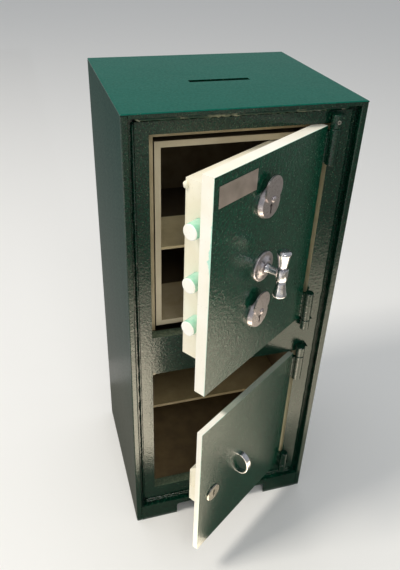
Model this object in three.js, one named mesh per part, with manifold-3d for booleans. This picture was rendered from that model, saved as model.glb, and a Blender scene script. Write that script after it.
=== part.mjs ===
// Floor-standing drop safe: a deposit slot in the top, an upper strong-door compartment with
// three round bolts thrown by a T-handle, and a lower locker with a plain keyed door.
// Millimetres. +Z is up, the doors face -Y and the hinges are on the +X side.
// The origin is on the floor, at the centre of the cabinet's footprint.

import * as THREE from "three";
import { mergeVertices } from "three/addons/utils/BufferGeometryUtils.js";
import Module from "manifold-3d";

const wasm = await Module();
wasm.setup();

// ---- driving dimensions, measured from the front plane (y 0) and the floor (z 0) ----
const WIDTH = 420;
const DEPTH = 375;
const HEIGHT = 980;
const SHEET = 3;
const GAP = 0.3;
const HALF = WIDTH / 2;

// rim that stands round the recessed front frame
const RIM_SIDE = 12;
const RIM_TOP = 8;
const RIM_STEP = 20;
const RIM_FLANGE = 11;
const FRAME_BELOW_TOP = 17;
const PLINTH_HEIGHT = 48;
const FRAME_ABOVE_PLINTH = 14;
const FOOT_WIDTH = 98;
const FOOT_CUT_HALF = HALF - FOOT_WIDTH;
const FOOT_CUT_HEIGHT = 32;
const FOOT_CUT_RADIUS = 7;

// front frame with the two door openings; the lower opening takes up a change of height
const FRAME_FACE = 12;
const FRAME_THICK = 22;
const FRAME_BACK = FRAME_FACE + FRAME_THICK;
const FRAME_HALF = HALF - RIM_SIDE - RIM_FLANGE;
const FRAME_LOW = PLINTH_HEIGHT + FRAME_ABOVE_PLINTH;
const FRAME_TOP = HEIGHT - FRAME_BELOW_TOP;
const JAMB = 23;
const HEAD_RAIL = 21;
const MID_RAIL = 92;
const SILL_RAIL = 34;
const UPPER_OPEN_HEIGHT = 404;
const OPEN_HALF = FRAME_HALF - JAMB;
const UPPER_OPEN_TOP = FRAME_TOP - HEAD_RAIL;
const UPPER_OPEN_LOW = UPPER_OPEN_TOP - UPPER_OPEN_HEIGHT;
const UPPER_OPEN = [UPPER_OPEN_LOW, UPPER_OPEN_TOP];
const LOWER_OPEN = [FRAME_LOW + SILL_RAIL, UPPER_OPEN_LOW - MID_RAIL];

// primed surround seen behind the upper opening
const SURROUND_SHOWS = 11;
const SURROUND_HALF = OPEN_HALF - SURROUND_SHOWS;
const SURROUND_THICK = 2.7;
const SURROUND_TOP = UPPER_OPEN_TOP - SURROUND_SHOWS - 1;
const SURROUND_TUCK = 2;

// upper inner body and lower locker lining
const BODY_INSET = 14;
const BODY_HALF = OPEN_HALF - BODY_INSET;
const BODY_WALL = 11;
const BODY_FRONT = 38;
const BODY_ABOVE_SILL = 10;
const BODY_BELOW_HEAD = 21;
const BODY_Z = [UPPER_OPEN_LOW + BODY_ABOVE_SILL, UPPER_OPEN_TOP - BODY_BELOW_HEAD];
const BODY_BACK_WALL = 5;
const LOCKER_INSET = 9;
const LOCKER_HALF = FRAME_HALF - LOCKER_INSET;
const LOCKER_SHEET = 2;
const LOCKER_OVERLAP = [6, 8];
const LOCKER_Z = [LOWER_OPEN[0] - LOCKER_OVERLAP[0], LOWER_OPEN[1] + LOCKER_OVERLAP[1]];
const BACK_INSIDE = DEPTH - SHEET - GAP;

// shelves
const SHELF_FRONT = 100;
const SHELF_SHEET = 2;
const SHELF_PLAY = 0.4;
const UPPER_SHELF_ABOVE = 139;
const UPPER_SHELF_TOP = BODY_Z[0] + UPPER_SHELF_ABOVE;
const UPPER_SHELF_LIP = 6;
const LOWER_SHELF_ABOVE = 180;
const LOWER_SHELF_TOP = LOCKER_Z[0] + LOWER_SHELF_ABOVE;
const LOWER_SHELF_LIP = 7;
const RAIL_LEG = 18;
const RAIL_DROP = 20;
const RAIL_SETBACK = 5;

// deposit slot and its throat, which ends below the upper body's ceiling
const SLOT_LENGTH = 114;
const SLOT_WIDTH = 14;
const SLOT_Y = 168;
const CHUTE_WALL = 3;
const CHUTE_PLAY = 0.5;
const CHUTE_HANGS = 10;
const CHUTE_BOTTOM = BODY_Z[1] - BODY_WALL - CHUTE_HANGS;

// doors, given in the closed pose and swung by these angles at rest
const UPPER_DOOR_OPEN_DEG = 34.2;
const LOWER_DOOR_OPEN_DEG = 34.2;
const HINGE_INSET = 9;
const HINGE_X = OPEN_HALF - HINGE_INSET;
const JAMB_SHY = 0.5;
const HINGE_JAMB_X = HINGE_X - JAMB_SHY;
const LEAF_REACH = 7.5;
const DOOR_GAP = 2.5;
const DOOR_GAP_ENDS = 2;
const DOOR_FREE_X = DOOR_GAP - OPEN_HALF;
const DOOR_HINGE_X = HINGE_X - LEAF_REACH;
const UPPER_DOOR_Z = [UPPER_OPEN[0] + DOOR_GAP_ENDS, UPPER_OPEN[1] - DOOR_GAP_ENDS];
const UPPER_DOOR_THICK = 22;
const LOWER_DOOR_Z = [LOWER_OPEN[0] + DOOR_GAP_ENDS, LOWER_OPEN[1] - DOOR_GAP_ENDS];
const LOWER_DOOR_THICK = 12;
const AXIS_OFF_CENTRE = 9.5;
const DOOR_AXIS_X = (DOOR_FREE_X + DOOR_HINGE_X) / 2 - AXIS_OFF_CENTRE;

// barrel hinges; each joint lies a little inside or outside the end of its door
const HINGE_Y = 1.2;
const BARREL_R = 9.2;
const BARREL_CHAMFER = 1.3;
const PIN_R = 5;
const RUNNING_FIT = 0.08;
const SHORT_KNUCKLE = 24;
const LONG_KNUCKLE = 65;
const LOWEST_KNUCKLE = 39;
const PIN_SEAT = 17.5;
const PIN_SHY = 15;
const SADDLE_START = 4;
const SADDLE_REACH = 16;
const SADDLE_SHY = 2;
const LEAF_SHY = 1.5;
const LEAF_BITE = 3;
const LEAF_BELOW_MIDDLE = 5;
const UPPER_TOP_JOINT = UPPER_DOOR_Z[1] - 4;
const UPPER_LOW_JOINT = UPPER_DOOR_Z[0] - 3;
const LOWER_TOP_JOINT = LOWER_DOOR_Z[1] - 4;
const LOWER_LOW_JOINT = LOWER_DOOR_Z[0] - 3.5;
const ROLL_PIN_Z = UPPER_TOP_JOINT + SHORT_KNUCKLE / 2;
const ROLL_PIN_R = 3.5;
const ROLL_PIN_BORE_R = 1.5;

// T-handle
const HANDLE_ABOVE = 197;
const HANDLE_Z = UPPER_DOOR_Z[0] + HANDLE_ABOVE;
const SPINDLE_R = 7.2;
const SPINDLE_END_Y = 73;
const TBAR_STANDOFF = 39;
const TBAR_Y = FRAME_FACE - TBAR_STANDOFF;
const SPINDLE_NECK_R = 6.6;
const SPINDLE_BOSS_R = 9;
const HUB_R = 10;
const HUB_HALF = 11.3;
const GRIP_REACH = 45;
const ROSE_R = 27.5;
const ROSE_HIGH = 9;

// bolt box on the back of the upper door
const BOX_FREE_INSET = 36.5;
const BOX_HINGE_INSET = 24.5;
const BOX_END_INSET = 33;
const BOX_X = [DOOR_FREE_X + BOX_FREE_INSET, DOOR_HINGE_X - BOX_HINGE_INSET];
const BOX_Z = [UPPER_DOOR_Z[0] + BOX_END_INSET, UPPER_DOOR_Z[1] - BOX_END_INSET];
const BOX_BACK = 91;
const BOX_SHEET = 2;
const BOX_FLANGE = 12;
const COVER_SHEET = 2;
const COVER_SCREW_R = 4.5;
const SCREW_INSET = 7;

// bolt work; thrown, the bolts stand just through the inner body's wall
const BOLT_R = 14;
const BOLT_Y = 62.2;
const BOLT_LOW_ABOVE = 114;
const BOLT_HIGH_BELOW = 105;
const BOLT_ABOVE_HANDLE = 2;
const BOLT_Z = [
  UPPER_DOOR_Z[0] + BOLT_LOW_ABOVE,
  HANDLE_Z + BOLT_ABOVE_HANDLE,
  UPPER_DOOR_Z[1] - BOLT_HIGH_BELOW,
];
const BOLT_PAST_WALL = 1;
const BOLT_SHY_OF_SPINDLE = 48;
const BOLT_TIP_X = -BODY_HALF - BOLT_PAST_WALL;
const BOLT_END_X = DOOR_AXIS_X - BOLT_SHY_OF_SPINDLE;
const BOLT_THROW = 24;
const BAR_THICK = 6;
const BAR_Y = [BOLT_Y + BOLT_R + GAP, BOLT_Y + BOLT_R + GAP + BAR_THICK];
const BAR_LAP = 27;
const BAR_MARGIN = 6;
const BAR_X = [BOLT_END_X - BAR_LAP, BOLT_END_X + BAR_MARGIN];
const BAR_END = 38;
const BAR_Z = [BOLT_Z[0] - BAR_END, BOLT_Z[2] + BAR_END];
const BAR_ARM_BELOW = 3;
const BAR_ARM_ABOVE = 32;
const BAR_ARM_Z = [HANDLE_Z - BAR_ARM_BELOW, HANDLE_Z + BAR_ARM_ABOVE];
const GUIDE_THICK = 14;
const GUIDE_GRIP = 6;
const GUIDE_X = [BAR_X[0] - 10, BAR_X[1] + BOLT_THROW];
const CRANK_RADIUS = BOLT_THROW / Math.SQRT2;
const CRANK_PIN_R = 4;
const CRANK_PLAY = 0.8;
const CRANK_Y = [64, 72];

// keyed locks
const KEY_OFF_HANDLE = 7;
const KEY_AXIS_X = DOOR_AXIS_X - KEY_OFF_HANDLE;
const KEY_UPPER_BELOW = 82;
const KEY_LOWER_ABOVE = 104;
const KEY_UPPER_Z = UPPER_DOOR_Z[1] - KEY_UPPER_BELOW;
const KEY_LOWER_Z = UPPER_DOOR_Z[0] + KEY_LOWER_ABOVE;
const ESCUTCHEON_R = 26.5;
const ESCUTCHEON_THICK = 9;
const ESCUTCHEON_FACE = FRAME_FACE - GAP - ESCUTCHEON_THICK;
const RIVET_ABOVE = 8.7;
const RIVET_R = 2.5;
const RIVET_FOOT = FRAME_FACE - 2;
const COVER_DISC_R = 22.5;
const COVER_DISC_ABOVE = 16;
const COVER_TIP_R = 7;
const COVER_THICK = 3;
const LOCK_CASE_FREE_SIDE = 16;
const LOCK_CASE_HINGE_SIDE = 30;
const LOCK_CASE_X = [DOOR_AXIS_X - LOCK_CASE_FREE_SIDE, DOOR_AXIS_X + LOCK_CASE_HINGE_SIDE];
const LOCK_CASE_DEPTH = 23.7;
const LOCK_CASE_BELOW = 45;
const LOCK_CASE_ABOVE = 28;
const KEYHOLE_R = 3.3;
const KEYHOLE_SLOT = 3.2;
const KEYHOLE_DROP = 8.5;
const KEYHOLE_BELOW = 8.5;
const LABEL_INSET = 11.5;
const LABEL_LENGTH = 93;
const LABEL_BELOW = 16;
const LABEL_HEIGHT = 34;
const LABEL_THICK = 0.8;
const LABEL_X = [DOOR_FREE_X + LABEL_INSET, DOOR_FREE_X + LABEL_INSET + LABEL_LENGTH];
const LABEL_Z = [UPPER_DOOR_Z[1] - LABEL_BELOW - LABEL_HEIGHT, UPPER_DOOR_Z[1] - LABEL_BELOW];

// lower door fittings
const LOCKER_KEY_INSET = 43.5;
const LOCKER_KEY_X = DOOR_FREE_X + LOCKER_KEY_INSET;
const LOCKER_KEY_ABOVE = 147;
const LOCKER_KEY_Z = LOWER_DOOR_Z[0] + LOCKER_KEY_ABOVE;
const LOCKER_ESCUTCHEON_R = 19;
const LOCKER_ESCUTCHEON_THICK = 3;
const LOCKER_CASE_INSET = 11.6;
const LOCKER_CASE_LENGTH = 58;
const LOCKER_CASE_ABOVE = 130;
const LOCKER_CASE_HEIGHT = 112;
const LOCKER_CASE_DEPTH = 23;
const LOCKER_CASE_FREE = DOOR_FREE_X + LOCKER_CASE_INSET;
const LOCKER_CASE_X = [LOCKER_CASE_FREE, LOCKER_CASE_FREE + LOCKER_CASE_LENGTH];
const LOCKER_CASE_LOW = LOWER_DOOR_Z[0] + LOCKER_CASE_ABOVE;
const LOCKER_CASE_Z = [LOCKER_CASE_LOW, LOCKER_CASE_LOW + LOCKER_CASE_HEIGHT];
const LOCKER_CASE_BACK = FRAME_FACE + LOWER_DOOR_THICK + LOCKER_CASE_DEPTH;
const LOCKER_CASE_SLOPE = 24;
const LOCKER_CASE_WALL = 2;
const LOCK_BOLT_THICK = 9;
const LOCK_BOLT_HEIGHT = 40;
const LOCK_BOLT_IN_CASE = 42;
const LOCK_BOLT_LOW = LOCKER_CASE_LOW + LOCK_BOLT_IN_CASE;
const LOCK_BOLT_BACK = LOCKER_CASE_BACK - LOCKER_CASE_WALL;
const LOCK_BOLT_Y = [LOCK_BOLT_BACK - LOCK_BOLT_THICK, LOCK_BOLT_BACK];
const LOCK_BOLT_Z = [LOCK_BOLT_LOW, LOCK_BOLT_LOW + LOCK_BOLT_HEIGHT];
const LOCK_BOLT_LENGTH = 48;
const PULL_OFF_AXIS = 6;
const PULL_X = DOOR_AXIS_X - PULL_OFF_AXIS;
const PULL_ABOVE = 152;
const PULL_Z = LOWER_DOOR_Z[0] + PULL_ABOVE;
const PULL_HALF_HEIGHT = 28;
const PULL_REACH = 22;
const PULL_THICK = 3.5;
const PULL_WIDTH = 12;

const ROUND = 40;

// ---- materials ----
const enamel = new THREE.MeshStandardMaterial({ color: 0x0e3a2e, roughness: 0.25, metalness: 0.1 });
enamel.name = "green_enamel";
const cream = new THREE.MeshStandardMaterial({ color: 0xe8e2c8, roughness: 0.5, metalness: 0.0 });
cream.name = "cream_paint";
const primer = new THREE.MeshStandardMaterial({ color: 0x6e6044, roughness: 0.7, metalness: 0.0 });
primer.name = "brown_primer";
const chrome = new THREE.MeshStandardMaterial({ color: 0xd2d2d0, roughness: 0.12, metalness: 1.0 });
chrome.name = "chrome_plate";
const steel = new THREE.MeshStandardMaterial({ color: 0xa8a9a6, roughness: 0.35, metalness: 1.0 });
steel.name = "bright_steel";

// ---- solids ----
function signedVolume(points, index) {
  let total = 0;
  for (let i = 0; i < index.length; i += 3) {
    const [a, b, c] = [index[i] * 3, index[i + 1] * 3, index[i + 2] * 3];
    const cx = points[b + 1] * points[c + 2] - points[b + 2] * points[c + 1];
    const cy = points[b + 2] * points[c] - points[b] * points[c + 2];
    const cz = points[b] * points[c + 1] - points[b + 1] * points[c];
    total += points[a] * cx + points[a + 1] * cy + points[a + 2] * cz;
  }
  return total / 6;
}

function solidOf(geometry) {
  const bare = geometry.clone();
  bare.deleteAttribute("normal");
  bare.deleteAttribute("uv");
  const merged = mergeVertices(bare, 1e-4);
  const points = merged.attributes.position.array;
  const index = [];
  for (let i = 0; i < merged.index.count; i += 3) {
    const [a, b, c] = [merged.index.getX(i), merged.index.getX(i + 1), merged.index.getX(i + 2)];
    if (a !== b && b !== c && c !== a) {
      index.push(a, b, c);
    }
  }
  if (signedVolume(points, index) < 0) {
    for (let i = 0; i < index.length; i += 3) {
      [index[i + 1], index[i + 2]] = [index[i + 2], index[i + 1]];
    }
  }
  const mesh = new wasm.Mesh({
    numProp: 3,
    vertProperties: new Float32Array(points),
    triVerts: new Uint32Array(index),
  });
  return new wasm.Manifold(mesh);
}

function box(xs, ys, zs) {
  const geometry = new THREE.BoxGeometry(xs[1] - xs[0], ys[1] - ys[0], zs[1] - zs[0]);
  geometry.translate((xs[0] + xs[1]) / 2, (ys[0] + ys[1]) / 2, (zs[0] + zs[1]) / 2);
  return solidOf(geometry);
}

function outline(points) {
  return new THREE.Shape(points.map(([u, v]) => new THREE.Vector2(u, v)));
}

function extrude(shape, from, to, segments = ROUND) {
  const options = { depth: to - from, bevelEnabled: false, curveSegments: segments };
  const geometry = new THREE.ExtrudeGeometry(shape, options);
  geometry.translate(0, 0, from);
  return geometry;
}

// outline in (x, y), run along z
function prismZ(points, zs) {
  return solidOf(extrude(outline(points), zs[0], zs[1]));
}

// outline in (y, z), run along x
function prismX(points, xs) {
  const geometry = extrude(outline(points), xs[0], xs[1]);
  const turn = new THREE.Matrix4().set(0, 0, 1, 0, 1, 0, 0, 0, 0, 1, 0, 0, 0, 0, 0, 1);
  geometry.applyMatrix4(turn);
  return solidOf(geometry);
}

// shape in (x, z), run along y
function prismY(shape, ys, segments = ROUND) {
  const geometry = extrude(shape, -ys[1], -ys[0], segments);
  geometry.rotateX(Math.PI / 2);
  return solidOf(geometry);
}

function rod(axis, radius, span, centre, segments = ROUND) {
  const length = span[1] - span[0];
  const geometry = new THREE.CylinderGeometry(radius, radius, length, segments);
  geometry.translate(0, (span[0] + span[1]) / 2, 0);
  if (axis === "z") {
    geometry.rotateX(Math.PI / 2);
    geometry.translate(centre[0], centre[1], 0);
  } else if (axis === "x") {
    geometry.rotateZ(-Math.PI / 2);
    geometry.translate(0, centre[0], centre[1]);
  } else {
    geometry.translate(centre[0], 0, centre[1]);
  }
  return solidOf(geometry);
}

// profile of [radius, height], turned about x, y or z through the centre
function turned(axis, profile, centre, segments = ROUND) {
  const points = profile.map(([r, h]) => new THREE.Vector2(r, h));
  const geometry = new THREE.LatheGeometry(points, segments);
  if (axis === "z") {
    geometry.rotateX(Math.PI / 2);
    geometry.translate(centre[0], centre[1], 0);
  } else if (axis === "x") {
    geometry.rotateZ(-Math.PI / 2);
    geometry.translate(0, centre[0], centre[1]);
  } else {
    geometry.translate(centre[0], 0, centre[1]);
  }
  return solidOf(geometry);
}

function closedProfile(points) {
  return [...points, points[0]];
}

function union(...solids) {
  return solids.reduce((sum, next) => sum.add(next));
}

function cut(solid, ...tools) {
  return tools.reduce((rest, tool) => rest.subtract(tool), solid);
}

// ---- placing ----
const group = new THREE.Group();
group.name = "drop_safe";

const toOrigin = new THREE.Matrix4().makeTranslation(0, -DEPTH / 2, 0);

function swing(degrees) {
  const out = new THREE.Matrix4().makeTranslation(HINGE_X, HINGE_Y, 0);
  const turn = new THREE.Matrix4().makeRotationZ(THREE.MathUtils.degToRad(degrees));
  const back = new THREE.Matrix4().makeTranslation(-HINGE_X, -HINGE_Y, 0);
  return out.multiply(turn).multiply(back);
}

const still = new THREE.Matrix4();
const upperSwing = swing(UPPER_DOOR_OPEN_DEG);
const lowerSwing = swing(LOWER_DOOR_OPEN_DEG);

function put(name, solid, material, pose = still) {
  const { vertProperties, triVerts } = solid.getMesh();
  const geometry = new THREE.BufferGeometry();
  geometry.setAttribute("position", new THREE.BufferAttribute(new Float32Array(vertProperties), 3));
  geometry.setIndex(new THREE.BufferAttribute(new Uint32Array(triVerts), 1));
  geometry.applyMatrix4(pose);
  geometry.applyMatrix4(toOrigin);
  geometry.computeVertexNormals();
  const mesh = new THREE.Mesh(geometry, material);
  mesh.name = name;
  group.add(mesh);
}

// ---- cabinet shell ----
const rimInner = HALF - RIM_SIDE;
const shellTop = HEIGHT - SHEET - GAP;
const stepBack = RIM_STEP + SHEET;

function sideSheet(side) {
  const profile = [
    [HALF, 0],
    [rimInner, 0],
    [rimInner, RIM_STEP],
    [FRAME_HALF + GAP, RIM_STEP],
    [FRAME_HALF + GAP, stepBack],
    [rimInner + SHEET, stepBack],
    [rimInner + SHEET, SHEET],
    [HALF - SHEET, SHEET],
    [HALF - SHEET, DEPTH],
    [HALF, DEPTH],
  ];
  return prismZ(profile.map(([x, y]) => [x * side, y]), [0, shellTop]);
}
put("side_left", sideSheet(-1), enamel);
put("side_right", sideSheet(1), enamel);

const innerHalf = HALF - SHEET - GAP;
const lipHalf = rimInner - GAP;
put("back_sheet", box([-innerHalf, innerHalf], [DEPTH - SHEET, DEPTH], [0, shellTop]), enamel);

const rimTop = HEIGHT - RIM_TOP;
const topSheet = box([-HALF, HALF], [0, DEPTH], [HEIGHT - SHEET, HEIGHT]);
const topFace = box([-lipHalf, lipHalf], [0, SHEET], [rimTop, HEIGHT - SHEET / 2]);
const topLedge = box([-lipHalf, lipHalf], [0, RIM_STEP - GAP], [rimTop, rimTop + SHEET]);
const topStep = box([-FRAME_HALF, FRAME_HALF], [SHEET, stepBack], [rimTop, rimTop + SHEET]);
const topFlange = box([-FRAME_HALF, FRAME_HALF], [RIM_STEP, stepBack], [FRAME_TOP + GAP, rimTop + SHEET]);
const slotX = [-SLOT_LENGTH / 2, SLOT_LENGTH / 2];
const slotY = [SLOT_Y - SLOT_WIDTH / 2, SLOT_Y + SLOT_WIDTH / 2];
const slot = box(slotX, slotY, [HEIGHT - 2 * SHEET, HEIGHT + 1]);
put("top_plate", cut(union(topSheet, topFace, topLedge, topStep, topFlange), slot), enamel);

// plinth: front band with the foot cut-out, and the ledge under the frame
const plinthShape = new THREE.Shape();
plinthShape.moveTo(-lipHalf, 0);
plinthShape.lineTo(-FOOT_CUT_HALF, 0);
plinthShape.lineTo(-FOOT_CUT_HALF, FOOT_CUT_HEIGHT - FOOT_CUT_RADIUS);
plinthShape.quadraticCurveTo(
  -FOOT_CUT_HALF, FOOT_CUT_HEIGHT, -FOOT_CUT_HALF + FOOT_CUT_RADIUS, FOOT_CUT_HEIGHT);
plinthShape.lineTo(FOOT_CUT_HALF - FOOT_CUT_RADIUS, FOOT_CUT_HEIGHT);
plinthShape.quadraticCurveTo(
  FOOT_CUT_HALF, FOOT_CUT_HEIGHT, FOOT_CUT_HALF, FOOT_CUT_HEIGHT - FOOT_CUT_RADIUS);
plinthShape.lineTo(FOOT_CUT_HALF, 0);
plinthShape.lineTo(lipHalf, 0);
plinthShape.lineTo(lipHalf, PLINTH_HEIGHT);
plinthShape.lineTo(-lipHalf, PLINTH_HEIGHT);
const plinthLedgeZ = [PLINTH_HEIGHT - SHEET, PLINTH_HEIGHT];
const plinth = union(
  prismY(plinthShape, [0, SHEET], 8),
  box([-lipHalf, lipHalf], [SHEET / 2, RIM_STEP - GAP], plinthLedgeZ),
  box([-FRAME_HALF, FRAME_HALF], [SHEET, stepBack], plinthLedgeZ),
  box([-FRAME_HALF, FRAME_HALF], [RIM_STEP, stepBack], [PLINTH_HEIGHT - SHEET, FRAME_LOW - GAP]),
);
put("plinth_front", plinth, enamel);
const baseY = [stepBack + GAP, BACK_INSIDE];
put("base_plate", box([-innerHalf, innerHalf], baseY, plinthLedgeZ), enamel);

// front frame, one thick plate with two openings
const framePlate = box([-FRAME_HALF, FRAME_HALF], [FRAME_FACE, FRAME_BACK], [FRAME_LOW, FRAME_TOP]);
const openX = [-OPEN_HALF, HINGE_JAMB_X];
const throughFrame = [FRAME_FACE - 1, FRAME_BACK + 1];
const frame = cut(framePlate, box(openX, throughFrame, UPPER_OPEN), box(openX, throughFrame, LOWER_OPEN));
put("front_frame", frame, enamel);

const surroundY = [FRAME_BACK + GAP, FRAME_BACK + GAP + SURROUND_THICK];
const surroundPlate = box([SURROUND_TUCK - FRAME_HALF, FRAME_HALF - SURROUND_TUCK], surroundY,
  [UPPER_OPEN[0] + SURROUND_TUCK, FRAME_TOP - SURROUND_TUCK]);
const surroundHole = box([-SURROUND_HALF, SURROUND_HALF], [surroundY[0] - 1, surroundY[1] + 1],
  [UPPER_OPEN[0], SURROUND_TOP]);
put("frame_surround", cut(surroundPlate, surroundHole), primer);

// ---- upper inner body ----
const bodyInner = BODY_HALF - BODY_WALL;
const bodyBlock = box([-BODY_HALF, BODY_HALF], [BODY_FRONT, BACK_INSIDE], BODY_Z);
const bodyRoom = box([-bodyInner, bodyInner], [BODY_FRONT - 1, BACK_INSIDE - BODY_BACK_WALL],
  [BODY_Z[0] + BODY_WALL, BODY_Z[1] - BODY_WALL]);
const boltHoles = BOLT_Z.map((z) => rod("x", BOLT_R + 1.2, [-BODY_HALF - 1, 1 - bodyInner], [BOLT_Y, z]));
const chuteX = [slotX[0] - CHUTE_WALL, slotX[1] + CHUTE_WALL];
const chuteY = [slotY[0] - CHUTE_WALL, slotY[1] + CHUTE_WALL];
const chuteHole = box(
  [chuteX[0] - CHUTE_PLAY, chuteX[1] + CHUTE_PLAY],
  [chuteY[0] - CHUTE_PLAY, chuteY[1] + CHUTE_PLAY],
  [BODY_Z[1] - BODY_WALL - 1, BODY_Z[1] + 1],
);
put("upper_inner_body", cut(bodyBlock, bodyRoom, ...boltHoles, chuteHole), cream);

const chuteOuter = box(chuteX, chuteY, [CHUTE_BOTTOM, HEIGHT - SHEET - GAP]);
const chuteInner = box(slotX, slotY, [CHUTE_BOTTOM - 1, HEIGHT]);
put("deposit_chute", cut(chuteOuter, chuteInner), enamel);

// ---- lower locker lining ----
const lockerInner = LOCKER_HALF - LOCKER_SHEET;
const lockerBlock = box([-LOCKER_HALF, LOCKER_HALF], [FRAME_BACK + GAP, BACK_INSIDE], LOCKER_Z);
const lockerRoom = box([-lockerInner, lockerInner], [FRAME_BACK - 1, BACK_INSIDE - LOCKER_SHEET],
  [LOCKER_Z[0] + LOCKER_SHEET, LOCKER_Z[1] - LOCKER_SHEET]);
put("lower_locker_lining", cut(lockerBlock, lockerRoom), primer);

// ---- shelves and the angle rails they lie on ----
function shelf(half, back, top, lip) {
  const sheet = box([-half, half], [SHELF_FRONT, back], [top - SHELF_SHEET, top]);
  const fold = box([-half, half], [SHELF_FRONT, SHELF_FRONT + SHELF_SHEET], [top - lip, top]);
  return union(sheet, fold);
}

function shelfRail(side, wall, back, top) {
  const under = top - SHELF_SHEET - GAP;
  const edge = wall - GAP;
  const profile = [
    [edge, under],
    [edge - RAIL_LEG, under],
    [edge - RAIL_LEG, under - SHELF_SHEET],
    [edge - SHELF_SHEET, under - SHELF_SHEET],
    [edge - SHELF_SHEET, under - RAIL_DROP],
    [edge, under - RAIL_DROP],
  ];
  return prismY(outline(profile.map(([x, z]) => [x * side, z])), [SHELF_FRONT + RAIL_SETBACK, back]);
}

const upperBack = BACK_INSIDE - BODY_BACK_WALL - GAP;
const lowerBack = BACK_INSIDE - LOCKER_SHEET - GAP;
put("upper_shelf", shelf(bodyInner - SHELF_PLAY, upperBack, UPPER_SHELF_TOP, UPPER_SHELF_LIP), primer);
put("upper_shelf_rail_left", shelfRail(-1, bodyInner, upperBack - RAIL_SETBACK, UPPER_SHELF_TOP), primer);
put("upper_shelf_rail_right", shelfRail(1, bodyInner, upperBack - RAIL_SETBACK, UPPER_SHELF_TOP), primer);
put("lower_shelf", shelf(lockerInner - SHELF_PLAY, lowerBack, LOWER_SHELF_TOP, LOWER_SHELF_LIP), primer);
put("lower_shelf_rail_left", shelfRail(-1, lockerInner, lowerBack - RAIL_SETBACK, LOWER_SHELF_TOP), primer);
put("lower_shelf_rail_right", shelfRail(1, lockerInner, lowerBack - RAIL_SETBACK, LOWER_SHELF_TOP), primer);

// ---- barrel hinges: short knuckles and pins on the frame, long knuckles on the doors ----
const hingeLine = [HINGE_X, HINGE_Y];

function barrel(zs) {
  const profile = [
    [0, zs[0]],
    [BARREL_R - BARREL_CHAMFER, zs[0]],
    [BARREL_R, zs[0] + BARREL_CHAMFER],
    [BARREL_R, zs[1] - BARREL_CHAMFER],
    [BARREL_R - BARREL_CHAMFER, zs[1]],
    [0, zs[1]],
  ];
  return turned("z", profile, hingeLine);
}

// up is +1 where the door's knuckle is above the frame's, -1 where it is below
function span(joint, from, to) {
  return from < to ? [joint + from, joint + to] : [joint + to, joint + from];
}

function frameKnuckle(joint, up) {
  const zs = span(joint, -up * GAP / 2, -up * SHORT_KNUCKLE);
  const saddleX = [HINGE_X - SADDLE_START, HINGE_X + SADDLE_REACH];
  const saddle = box(saddleX, [HINGE_Y, FRAME_FACE - GAP], [zs[0] + SADDLE_SHY, zs[1] - SADDLE_SHY]);
  const bore = rod("z", PIN_R + RUNNING_FIT, span(joint, up, -up * (PIN_SEAT + 0.5)), hingeLine);
  return cut(union(barrel(zs), saddle), bore);
}

function hingePin(joint, up, reach) {
  return rod("z", PIN_R, span(joint, -up * PIN_SEAT, up * reach), hingeLine);
}

// the leaf is a bar welded along the door plate's edge, with the barrel on its front
function doorKnuckle(joint, up, length, doorThick) {
  const zs = span(joint, up * GAP / 2, up * length);
  const leafBack = FRAME_FACE + doorThick / 2 + LEAF_BELOW_MIDDLE;
  const leafX = [DOOR_HINGE_X + GAP, HINGE_X - LEAF_SHY];
  const leaf = box(leafX, [HINGE_Y + LEAF_BITE, leafBack], span(joint, up * 5, up * (length - 2)));
  const bore = rod("z", PIN_R + RUNNING_FIT, span(joint, -up, up * (length - PIN_SHY + 1)), hingeLine);
  return cut(union(barrel(zs), leaf), bore);
}

const rollY = [HINGE_Y - BARREL_R - 0.6, HINGE_Y - PIN_R - 0.5];
const rollHole = rod("y", ROLL_PIN_R + 0.1, [rollY[0] - 2, rollY[1] + 0.3], [HINGE_X, ROLL_PIN_Z], 32);
put("frame_knuckle_upper_top", cut(frameKnuckle(UPPER_TOP_JOINT, -1), rollHole), enamel);
put("frame_knuckle_upper_low", frameKnuckle(UPPER_LOW_JOINT, 1), enamel);
put("frame_knuckle_lower_top", frameKnuckle(LOWER_TOP_JOINT, -1), enamel);
put("frame_knuckle_lower_low", frameKnuckle(LOWER_LOW_JOINT, 1), enamel);
put("hinge_pin_upper_top", hingePin(UPPER_TOP_JOINT, -1, LONG_KNUCKLE - PIN_SHY), steel);
put("hinge_pin_upper_low", hingePin(UPPER_LOW_JOINT, 1, LONG_KNUCKLE - PIN_SHY), steel);
put("hinge_pin_lower_top", hingePin(LOWER_TOP_JOINT, -1, LONG_KNUCKLE - PIN_SHY), steel);
put("hinge_pin_lower_low", hingePin(LOWER_LOW_JOINT, 1, LOWEST_KNUCKLE - PIN_SHY), steel);
const rollTube = closedProfile([
  [ROLL_PIN_BORE_R, rollY[0]],
  [ROLL_PIN_R, rollY[0]],
  [ROLL_PIN_R, rollY[1]],
  [ROLL_PIN_BORE_R, rollY[1]],
]);
put("hinge_roll_pin", turned("y", rollTube, [HINGE_X, ROLL_PIN_Z], 32), steel);

put("door_knuckle_upper_top", doorKnuckle(UPPER_TOP_JOINT, -1, LONG_KNUCKLE, UPPER_DOOR_THICK),
  enamel, upperSwing);
put("door_knuckle_upper_low", doorKnuckle(UPPER_LOW_JOINT, 1, LONG_KNUCKLE, UPPER_DOOR_THICK),
  enamel, upperSwing);
put("door_knuckle_lower_top", doorKnuckle(LOWER_TOP_JOINT, -1, LONG_KNUCKLE, LOWER_DOOR_THICK),
  enamel, lowerSwing);
put("door_knuckle_lower_low", doorKnuckle(LOWER_LOW_JOINT, 1, LOWEST_KNUCKLE, LOWER_DOOR_THICK),
  enamel, lowerSwing);

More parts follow.
